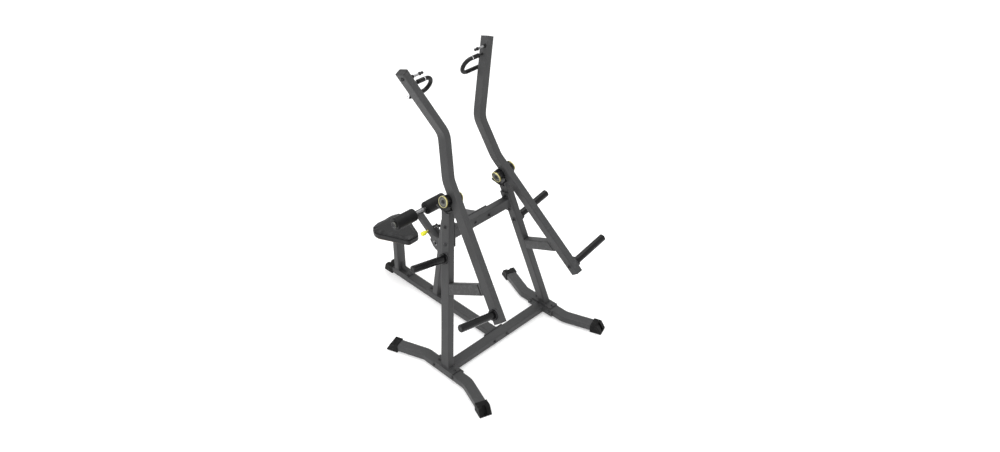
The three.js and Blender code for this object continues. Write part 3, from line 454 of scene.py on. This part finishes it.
# the first key that a node's name holds gives its material, and PAINT is for the rest
BY_NAME = (
    ("_foot_cap", RUBBER), ("spine_cap", RUBBER), ("_bumper", RUBBER), ("_plug", PLASTIC),
    ("_horn", BLACK), ("_bearing", BLACK), ("_ring", ZINC), ("roller_axle", GREY), ("_axle", DISC),
    ("roller_hub", DISC), ("pin_barrel", BRASSY), ("hinge_bolt", STEEL), ("handle_stud", STEEL),
    ("handle_hub", BLACK), ("grip_cap", CHROME), ("seat_board", PLY), ("_roller", FOAM), ("_grip", GRIP),
    ("seat_cushion", VINYL), ("pull_pin", KNOB), ("_peg", CHROME),
)
SMOOTH = soft_shading()
for name, obj in NODES.items():
    obj.data.materials.clear()
    obj.data.materials.append(next((mat for key, mat in BY_NAME if key in name), PAINT))
    obj.modifiers.new("smooth_rounds", "NODES").node_group = SMOOTH
    flat = obj.modifiers.new("flat_faces", "WEIGHTED_NORMAL")
    flat.keep_sharp = True
    flat.weight = 100


# ---- bolts on the frame ---------------------------------------------------------------------

def cross_bolts(bm):
    """Heads on both faces of the base beam's and upper beam's joints, and under the seat's plate."""
    for hand in (-1, 1):
        for y, way, z in ((-TUBE_WIDE / 2, -1, BASE_BOLT_Z),
                          (TUBE_WIDE / 2 + GAP + PLATE, 1, BASE_BOLT_Z),
                          (BEAM_Y - TUBE_NARROW / 2, -1, BEAM_BOLT_Z),
                          (BEAM_Y + TUBE_NARROW / 2 + GAP + PLATE, 1, BEAM_BOLT_Z)):
            bolt(bm, drawn(hand * 60, y, z), (0, way, 0))
        for y in (-55, 55):
            bolt(bm, drawn(hand * 37.2, SEAT_POST_Y + y, SEAT_PLATE_BASE), (0, 0, -1), SEAT_BOLT)


def spine_bolts(bm):
    """Heads on the central post's foot plate and on the seat post's, along the spine."""
    for y in (676, 540):
        bolt(bm, drawn(0, y, FLOOR_PLATE_TOP), (0, 0, 1))
    for x in (-22, 22):
        bolt(bm, drawn(x, 921, FLOOR_PLATE_TOP), (0, 0, 1), FOOT_BOLT)


def upright_bolts(bm, hand):
    """Heads at an upright's foot, at the upper beam and behind the storage horn."""
    for y in (-90, 90):
        bolt(bm, drawn(hand * (FOOT_X + TUBE_WIDE / 2), y, 38), (hand, 0, 0))
        bolt(bm, drawn(hand * FOOT_PLATE_FACE, y, 38), (-hand, 0, 0))
    for y in (-82, 73):
        bolt(bm, drawn(hand * FOOT_X, y, FLOOR_PLATE_TOP), (0, 0, 1), FOOT_BOLT)
    for y, up in ((168, 933), (147, 819)):
        bolt(bm, side(hand, OUTER_FACE, y, up), side_way(hand, 1, 0, 0))
        bolt(bm, side(hand, INNER_PLATE_FACE, y, up), side_way(hand, -1, 0, 0))
    bolt(bm, side(hand, INNER_FACE, STORAGE_Y, STORAGE_UP), side_way(hand, -1, 0, 0), HORN_BOLT)


def bearing_bolts(bm, hand):
    """Heads under the saddle, at the four corners of its bearings, and one on each end of the axle."""
    lean = math.radians(13)
    saddle_drop, saddle_thick = 54, 8.4
    for out in (-47, 47):
        for y in (-41, 41):
            place = side(hand, SIDE_OUT + out,
                         PIVOT_Y + y * math.cos(lean) + saddle_drop * math.sin(lean),
                         PIVOT_UP + y * math.sin(lean) - saddle_drop * math.cos(lean) - saddle_thick)
            bolt(bm, place, side_way(hand, 0, math.sin(lean), -math.cos(lean)), BEARING_BOLT)
    for way in (-1, 1):
        place = side(hand, SIDE_OUT + way * 71, PIVOT_Y, PIVOT_UP)
        bolt(bm, place, side_way(hand, way, 0, 0), AXLE_BOLT, False)


bolts = bmesh.new()
cross_bolts(bolts)
spine_bolts(bolts)
for _, hand in SIDES:
    upright_bolts(bolts, hand)
    bearing_bolts(bolts, hand)
piece("frame_bolts", bolts, STEEL, "frame")


# ---- welds on the frame ---------------------------------------------------------------------

def level_bead(bm, x, y, z, half_x, half_y, radius=BEAD_RADIUS):
    """A bead round a tube that stands on a level plate."""
    bead(bm, outline([drawn(x + sx * half_x, y + sy * half_y, z) for sx, sy in SQUARE]), radius)


def upper_beam_bead(bm, hand):
    """A bead round the upper beam's end, on the plate that leans with the side plane."""
    corners = []
    for sy, sz in SQUARE:
        z = BEAM_Z + sz * 38
        x = (442 - z * math.sin(TILT)) / math.cos(TILT)
        corners.append(drawn(hand * x, BEAM_Y + sy * 25.4, z))
    bead(bm, outline(corners))


def side_beads(bm, hand):
    """Beads at an upright's foot, the storage horn, and the ends of the base and upper beams."""
    level_bead(bm, hand * 472.5, -2.9, 67.2, 26.2, 39.2)
    collar_bead(bm, side(hand, OUTER_FACE + 0.6, STORAGE_Y, STORAGE_UP), side_way(hand, 1, 0, 0))
    bead(bm, outline([drawn(hand * (FOOT_PLATE_FACE - 0.6), sy * 37.8, TUBE_MIDDLE + sz * 25.3)
                      for sy, sz in SQUARE]))
    upper_beam_bead(bm, hand)


welds = bmesh.new()
for _, hand in SIDES:
    side_beads(welds, hand)
bead(welds, outline([drawn(sx * 37.8, 46.4, TUBE_MIDDLE + sz * 25.3) for sx, sz in SQUARE]))
for z in (67.2, 362.9):
    level_bead(welds, 0, SEAT_POST_Y, z, 37.8, 25.3, 0.0024)
level_bead(welds, 0, 608, 67.2, 37.8, 25.8)
piece("frame_welds", welds, WELD, "frame", 60)


# ---- horns, levers and bearings ---------------------------------------------------------------

HORN_PLUG = [(-0.001, 0), (-0.001, 0.0195), (0.0012, 0.019), (0.002, 0.0175), (0.0022, 0.012),
             (0.0012, 0.0105), (0.0012, 0)]
BEARING_STEP = [(0, 0.034), (0, 0.0385), (0.0075, 0.0385), (0.0085, 0.0372), (0.0085, 0.034), (0, 0.034)]
RING_RIM = [(0, 0.0346), (0, 0.0358), (0.0012, 0.037), (0.0086, 0.037), (0.0097, 0.0365),
            (0.0097, 0.0354), (0.0088, 0.0346), (0, 0.0346)]
RING_WASHER = [(0, 0.0302), (0.0066, 0.0302), (0.0072, 0.0308), (0.0072, 0.034), (0.0066, 0.0345),
               (0, 0.0345), (0, 0.0302)]


def horn_plugs(name, hand):
    """The plastic plugs in the ends of the storage horn and the weight horn."""
    for horn, body, y, up, length in (("storage", "frame", STORAGE_Y, STORAGE_UP, STORAGE_LENGTH),
                                      ("weight", f"{name}_arm", WEIGHT_Y, WEIGHT_UP, WEIGHT_LENGTH)):
        turned(f"{name}_{horn}_horn_plug", HORN_PLUG, PLASTIC,
               side(hand, OUTER_FACE + GAP + length, y, up), side_way(hand, 1, 0, 0), body)


def arm_fixings(name, hand):
    """The lever's bolts behind its horn and its peg, and the weld round its horn's collar."""
    bm = bmesh.new()
    bolt(bm, side(hand, INNER_FACE, WEIGHT_Y, WEIGHT_UP), side_way(hand, -1, 0, 0), HORN_BOLT)
    flare, back = math.radians(35), math.radians(18)
    outward = side_way(hand, math.cos(flare), -math.sin(flare) * math.sin(back),
                       -math.sin(flare) * math.cos(back))
    bolt(bm, drawn(hand * 362.2, 419, PEG_Z), outward, PEG_BOLT)
    piece(f"{name}_arm_bolts", bm, STEEL, f"{name}_arm")
    beads = bmesh.new()
    collar_bead(beads, side(hand, OUTER_FACE + 0.6, WEIGHT_Y, WEIGHT_UP), side_way(hand, 1, 0, 0))
    piece(f"{name}_arm_weld", beads, WELD, f"{name}_arm", 60)


def bearing_rings(name, hand):
    """An olive step behind each bearing's ring, and each ring as a bright rim round a dark washer."""
    steps = bmesh.new()
    for way in (-1, 1):
        lathe(steps, BEARING_STEP, side(hand, SIDE_OUT + way * 60, PIVOT_Y, PIVOT_UP),
              side_way(hand, way, 0, 0), 56)
    piece(f"{name}_bearing_steps", steps, BRASSY, "frame")
    for place, way in (("outer", 1), ("inner", -1)):
        start, axis = side(hand, SIDE_OUT + way * 63.3, PIVOT_Y, PIVOT_UP), side_way(hand, way, 0, 0)
        rim = turned(f"{name}_{place}_ring_rim", RING_RIM, ZINC, start, axis, "frame", 64)
        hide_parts(f"{name}_{place}_ring")
        washer = turned(f"{name}_{place}_ring_washer", RING_WASHER, DISC, start, axis, "frame",
                        64)
        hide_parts(f"{name}_{place}_ring")


for name, hand in SIDES:
    horn_plugs(name, hand)
    arm_fixings(name, hand)
    bearing_rings(name, hand)


# ---- grips and pegs ---------------------------------------------------------------------------

GRIP_COLLAR = [(0, 0), (0, 0.0136), (0.001, 0.0144), (0.0055, 0.0144), (0.0065, 0.0136), (0.0065, 0)]
PEG_SLEEVE = [(0, 0.0078), (0, 0.0108), (0.0015, 0.012), (0.022, 0.012), (0.022, 0.0078), (0, 0.0078)]


def grip_path(hand):
    """Along the grip: out of the hub, round half a turn that leans back, and along the lower leg."""
    lean = math.radians(20.5)
    down = Vector((0, math.sin(lean), -math.cos(lean)))
    start_x, bend_x, bend, leg = 194.5, 189, 0.055, 0.1
    start, turn = drawn(hand * start_x, GRIP_Y, GRIP_Z), drawn(hand * bend_x, GRIP_Y, GRIP_Z)
    path = [start.lerp(turn, t / 3) for t in range(3)]
    middle = turn + down * bend
    for k in range(25):
        a = math.pi * k / 24
        path.append(middle - down * (bend * math.cos(a)) - Vector((hand, 0, 0)) * (bend * math.sin(a)))
    corner = turn + down * (2 * bend)
    return path + [corner + Vector((hand * leg * k / 16, 0, 0)) for k in range(1, 17)]


def grip(name, hand):
    """The rubber cover of a handle and the bright collar at its start."""
    path = grip_path(hand)
    bm = bmesh.new()
    tube(bm, path, 0.0134, 28, False)
    cover = piece(f"{name}_grip_cover", bm, GRIP, f"{name}_handle", 50)
    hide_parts(f"{name}_grip")
    turned(f"{name}_grip_collar", GRIP_COLLAR, CHROME, path[0], (hand, 0, 0), f"{name}_handle",
           36)


def peg_ball_profile():
    """A ball with a neck and a turned collar behind it."""
    ball = 0.0095
    profile = [(0, 0)]
    for k in range(1, 15):
        a = math.pi * (1 - k / 16.5)
        profile.append((ball + ball * math.cos(a), ball * math.sin(a)))
    return profile + [(0.0205, 0.0038), (0.0235, 0.0038), (0.0235, 0.0105), (0.0245, 0.0115),
                      (0.0305, 0.0115), (0.0315, 0.0105), (0.0315, 0)]


def peg(name, hand):
    """The peg above a handle: a rod, a ball on its end and a sleeve at the lever."""
    body, way = f"{name}_arm", (hand, 0, 0)
    length, radius = 0.0615, 0.0075
    rod = turned(f"{name}_peg_rod", [(0, 0), (0, radius - 0.0005), (0.0006, radius), (length, radius),
                                     (length, 0)],
                 GREY, drawn(hand * 251.5, PEG_Y, PEG_Z), way, body, 32)
    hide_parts(f"{name}_peg")
    turned(f"{name}_peg_ball", peg_ball_profile(), STEEL, drawn(hand * 210.5, PEG_Y, PEG_Z), way, body,
           36)
    turned(f"{name}_peg_sleeve", PEG_SLEEVE, BLACK, drawn(hand * 289, PEG_Y, PEG_Z), way, body,
           36)


for name, hand in SIDES:
    grip(name, hand)
    peg(name, hand)


# ---- hold-down --------------------------------------------------------------------------------

HUB_RIM = [(0, 0.0135), (0, 0.021), (0.001, 0.022), (0.002, 0.021), (0.0024, 0.0145), (0, 0.0135)]
AXLE_PLUG = [(-0.004, 0), (-0.004, 0.0126), (0.0006, 0.0126), (0.0014, 0.0118), (0.0018, 0.004),
             (0.0018, 0)]
STOP_BUTTON = [(0, 0), (0, 0.0095), (0.001, 0.0105), (0.008, 0.0105), (0.0105, 0.008), (0.0105, 0.003),
               (0.009, 0)]
HINGE_WASHER = [(0, 0.0125), (0, 0.0175), (0.0006, 0.0182), (0.0018, 0.0182), (0.0024, 0.0175),
                (0.0024, 0.0125), (0, 0.0125)]
PIN_KNOB = [(0, 0), (0, 0.0115), (0.0012, 0.0138), (0.004, 0.0158), (0.03, 0.0162), (0.0325, 0.015),
            (0.037, 0.0105), (0.045, 0.0101), (0.0458, 0.0094), (0.0458, 0)]
PIN_ROD = [(0, 0), (0, 0.005), (0.0565, 0.005), (0.0573, 0.0042), (0.0573, 0)]


def foam_profile():
    """A roller with rounded ends, a little fuller in its middle, round its bore."""
    length, radius, rounding, swell = 0.176, 0.0472, 0.008, 0.0004
    near = [(0.0015, 0.0135), (0.0008, 0.03)]
    for k in range(7):
        a = math.pi / 2 * k / 6
        near.append((rounding - rounding * math.cos(a), radius - rounding + rounding * math.sin(a)))
    crown = [(rounding + (length - 2 * rounding) * k / 12, radius + swell * math.sin(math.pi * k / 12))
             for k in range(1, 12)]
    far = [(length - along, r) for along, r in reversed(near)]
    return near + crown + far + near[:1]


def roller(name, hand):
    """A foam roller, and the rim and plug on the hub at its outer end."""
    way = (hand, 0, 0)
    inner_end = hold(hand * 52, ROLLER_ALONG, ROLLER_RISE)
    foam = turned(f"{name}_foam_roller", foam_profile(), FOAM, inner_end, way, f"{name}_roller",
                  72, 60)
    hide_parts(f"{name}_roller")
    hub_face = hold(hand * 239, ROLLER_ALONG, ROLLER_RISE)
    turned(f"{name}_hub_rim", HUB_RIM, STEEL, hub_face, way, "hold_down")
    turned(f"{name}_axle_plug", AXLE_PLUG, PLASTIC, hub_face, way, "hold_down")


def bracket_details():
    """The index plate's two stop buttons and the light washers under the hinge bolt's ends."""
    hinge = drawn(0, HINGE_Y, HINGE_Z)
    buttons = bmesh.new()
    for angle, reach in ((64, 0.111), (79, 0.108)):
        a = math.radians(angle)
        lathe(buttons, STOP_BUTTON, hinge + Vector((0.0288, reach * math.cos(a), reach * math.sin(a))),
              (1, 0, 0), 32)
    piece("index_stop_buttons", buttons, RUBBER, "frame")
    washers = bmesh.new()
    for way in (-1, 1):
        lathe(washers, HINGE_WASHER, hinge + Vector((way * 0.0291, 0, 0)), (way, 0, 0))
    piece("hinge_washers", washers, GREY, "frame")


def pull_pin():
    """The pull pin's fluted knob and its rod."""
    bm = bmesh.new()
    lathe(bm, PIN_KNOB, hold(-81.3, PIN_ALONG, 0), (1, 0, 0), 96, flutes=12, cut=0.1)
    knob = piece("pin_knob", bm, KNOB, "pull_pin", 45)
    rod = turned("pin_rod", PIN_ROD, CHROME, hold(-35.6, PIN_ALONG, 0), (1, 0, 0), "pull_pin",
                 28)
    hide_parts("pull_pin")
    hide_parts("pull_pin")


for name, hand in SIDES:
    roller(name, hand)
bracket_details()
pull_pin()


# ---- seat cushion --------------------------------------------------------------------------------

def limits(vertices):
    """The lowest and the highest corner of the box round some vertices."""
    places = [v.co for v in vertices]
    return ([min(p[i] for p in places) for i in range(3)], [max(p[i] for p in places) for i in range(3)])


def cushion_form():
    """The cushion before it is filled: the CAD solid, drawn in a little and flattened."""
    bm = bmesh.new()
    bm.from_mesh(NODES["seat_cushion"].data)
    bmesh.ops.remove_doubles(bm, verts=bm.verts, dist=0.00002)
    low, high = limits(bm.verts)
    for v in bm.verts:
        for i in (0, 1):
            middle, half = (low[i] + high[i]) / 2, (high[i] - low[i]) / 2
            v.co[i] = middle + (v.co[i] - middle) * (half - 0.002) / half
        v.co.z = SEAT_BOTTOM + (v.co.z - low[2]) * 0.86
    mesh = bpy.data.meshes.new("seat_cover")
    bm.to_mesh(mesh)
    bm.free()
    obj = bpy.data.objects.new("seat_cover", mesh)
    STOCK.objects.link(obj)
    return obj


def baked(obj):
    """Applies every modifier by taking the evaluated mesh."""
    graph = bpy.context.evaluated_depsgraph_get()
    mesh = bpy.data.meshes.new_from_object(obj.evaluated_get(graph))
    obj.modifiers.clear()
    obj.data = mesh


def fill(obj, frames=20, cap=0.009):
    """Swells the cover under pressure, with its underside held to the board."""
    rest = [v.co.copy() for v in obj.data.vertices]
    pinned = obj.vertex_groups.new(name="board")
    pinned.add([v.index for v in obj.data.vertices if v.co.z < SEAT_BOTTOM + 0.004], 1.0, "REPLACE")
    cloth = obj.modifiers.new("filling", "CLOTH")
    cloth.settings.quality = 5
    cloth.settings.mass = 0.4
    cloth.settings.tension_stiffness = 18
    cloth.settings.compression_stiffness = 18
    cloth.settings.shear_stiffness = 8
    cloth.settings.bending_stiffness = 0.6
    cloth.settings.use_pressure = True
    cloth.settings.uniform_pressure_force = 4
    cloth.settings.effector_weights.gravity = 0
    cloth.settings.vertex_group_mass = "board"
    cloth.collision_settings.use_collision = False
    cloth.point_cache.frame_start = 1
    cloth.point_cache.frame_end = frames
    scene = bpy.context.scene
    for number in range(1, frames + 1):
        scene.frame_set(number)
    baked(obj)
    scene.frame_set(1)
    for v, was in zip(obj.data.vertices, rest):
        moved = v.co - was
        if moved.length > cap:
            v.co = was + moved.normalized() * cap


def evened(obj):
    """Smooths the filled cover and divides its faces once."""
    smoother = obj.modifiers.new("even", "SMOOTH")
    smoother.factor = 0.5
    smoother.iterations = 8
    divide = obj.modifiers.new("divide", "SUBSURF")
    divide.levels = divide.render_levels = 1
    baked(obj)


def fitted(obj):
    """Brings the filled cover back to the seat's real size, with its underside flat."""
    low, high = limits(obj.data.vertices)
    want_low = (*drawn(-153, 850.3, 0).xy, SEAT_BOTTOM)
    want_high = (*drawn(153, 1177.7, 0).xy, SEAT_TOP + 0.004)
    for v in obj.data.vertices:
        for i in range(3):
            share = (v.co[i] - low[i]) / (high[i] - low[i])
            v.co[i] = want_low[i] + share * (want_high[i] - want_low[i])
        v.co.z = max(v.co.z, SEAT_BOTTOM)


def outline_reach(way):
    """How far the seat's own outline lies from its middle in a level direction."""
    start = Vector((SEAT_CENTRE.x, SEAT_CENTRE.y, 0.41)) + way * 0.5
    hit, where, _, _ = NODES["seat_cushion"].ray_cast(start, -way)
    return (Vector((where.x, where.y, 0)) - SEAT_CENTRE).length if hit else None


def band_inset(z):
    """How far the side band lies inside the outline: a groove at the seam, and rounds above and below."""
    groove = 0.0046 * math.exp(-((z - SEAM) / 0.0036) ** 2)
    swell = 0.0012 * math.exp(-((z - SEAM + 0.0085) / 0.004) ** 2)
    foot = 0.0018 * math.exp(-((z - SEAT_BOTTOM) / 0.004) ** 2)
    shoulder = 0.0022 * max(0.0, (z - SEAM - 0.004) / 0.011) ** 2
    return groove - swell + foot + shoulder + 0.0006


def banded(mesh):
    """Brings the cover's sides to the board's outline, with the top panel sewn to them in a groove."""
    normals = [Vector(v.normal) for v in mesh.vertices]
    for v, normal in zip(mesh.vertices, normals):
        level = math.hypot(normal.x, normal.y)
        if level < 0.4 or v.co.z > SEAT_TOP - 0.003:
            continue
        out = Vector((v.co.x, v.co.y, 0)) - SEAT_CENTRE
        way = out.normalized()
        reach = outline_reach(way)
        if reach is None:
            continue
        share = min(1.0, (level - 0.4) / 0.3)
        length = out.length + (reach - band_inset(v.co.z) - out.length) * share
        v.co.x, v.co.y = SEAT_CENTRE.x + way.x * length, SEAT_CENTRE.y + way.y * length


def seat_cover():
    """The cushion's cover, filled by a cloth simulation and sewn along its band."""
    cover = cushion_form()
    remesh = cover.modifiers.new("cells", "REMESH")
    remesh.mode = "VOXEL"
    remesh.voxel_size = 0.0055
    baked(cover)
    fill(cover)
    evened(cover)
    fitted(cover)
    banded(cover.data)
    cover.data.materials.clear()
    cover.data.materials.append(VINYL)
    cover.data.shade_smooth()
    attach(cover, "frame")
    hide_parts("seat_cushion")
    return cover


def seam_loop(cover, height, standoff):
    """Points round the cushion at a height, taken from the filled cover itself."""
    centre = Vector((SEAT_CENTRE.x, SEAT_CENTRE.y, height))
    loop = []
    for k in range(360):
        a = 2 * math.pi * k / 360
        way = Vector((math.cos(a), math.sin(a), 0))
        hit, where, normal, _ = cover.ray_cast(centre + way * 0.5, -way)
        if hit:
            loop.append(where + Vector((normal.x, normal.y, 0)).normalized() * standoff)
    return loop


def seat_stitches(cover, spacing=0.0052):
    """A row of stitches below the seam."""
    profile = [(-0.0017, 0), (-0.0013, 0.00045), (0, 0.0006), (0.0013, 0.00045), (0.0017, 0)]
    bm = bmesh.new()
    loop = seam_loop(cover, SEAM - STITCH_DROP, 0.0001)
    since = 0.0
    for a, b in zip(loop, loop[1:] + loop[:1]):
        since += (b - a).length
        if since > spacing and (b - a).length < 0.02:
            since = 0.0
            lathe(bm, profile, b, (b - a).normalized(), 6)
    piece("seat_stitches", bm, THREAD, "frame", 60)


def seat_piping(cover):
    """A round cord sewn in along the seam."""
    bm = bmesh.new()
    tube(bm, seam_loop(cover, SEAM, 0.0008), 0.0019, 8)
    piece("seat_piping", bm, RUBBER, "frame", 60)


SEAT_CENTRE = Vector((*drawn(0, 1034, 0).xy, 0))
filled = seat_cover()
bpy.context.view_layer.update()
seat_stitches(filled)
seat_piping(filled)


# ---- floor, light and camera -----------------------------------------------------------------------

def floor(half=40):
    bm = bmesh.new()
    bm.faces.new([bm.verts.new((x * half, y * half, 0)) for x, y in SQUARE])
    mesh = bpy.data.meshes.new("floor")
    bm.to_mesh(mesh)
    bm.free()
    mesh.materials.append(FLOOR)
    obj = bpy.data.objects.new("floor", mesh)
    STOCK.objects.link(obj)


def studio(strength=0.88):
    world = bpy.data.worlds.new("studio")
    world.use_nodes = True
    world.node_tree.nodes["Background"].inputs["Color"].default_value = (1, 1, 1, 1)
    world.node_tree.nodes["Background"].inputs["Strength"].default_value = strength
    bpy.context.scene.world = world
    bpy.context.scene.view_settings.view_transform = "Standard"


def lamp(name, place, target, power, width):
    data = bpy.data.lights.new(name, "AREA")
    data.shape = "SQUARE"
    data.size = width
    data.energy = power
    obj = bpy.data.objects.new(name, data)
    obj.location = place
    obj.rotation_euler = (Vector(target) - Vector(place)).to_track_quat("-Z", "Y").to_euler()
    STOCK.objects.link(obj)


def camera(place, way, lens=36.1):
    data = bpy.data.cameras.new("camera")
    data.lens = lens
    data.sensor_width = 36.0
    data.clip_end = 100
    eye = bpy.data.objects.new("camera", data)
    eye.location = place
    eye.rotation_euler = Vector(way).to_track_quat("-Z", "Y").to_euler()
    STOCK.objects.link(eye)
    bpy.context.scene.camera = eye


floor()
studio()
lamp("key", (-4.4, -0.6, 3.4), (0, 0, 0.9), 75, 2.6)
lamp("top", (0.4, 0.6, 5.2), (0, 0, 0.8), 150, 3.4)
lamp("fill", (2.6, -4.4, 2.6), (0, 0, 0.9), 12, 3.0)
camera((-3.699, -4.0577, 4.687), (0.577, 0.575, -0.579))

bpy.context.view_layer.update()
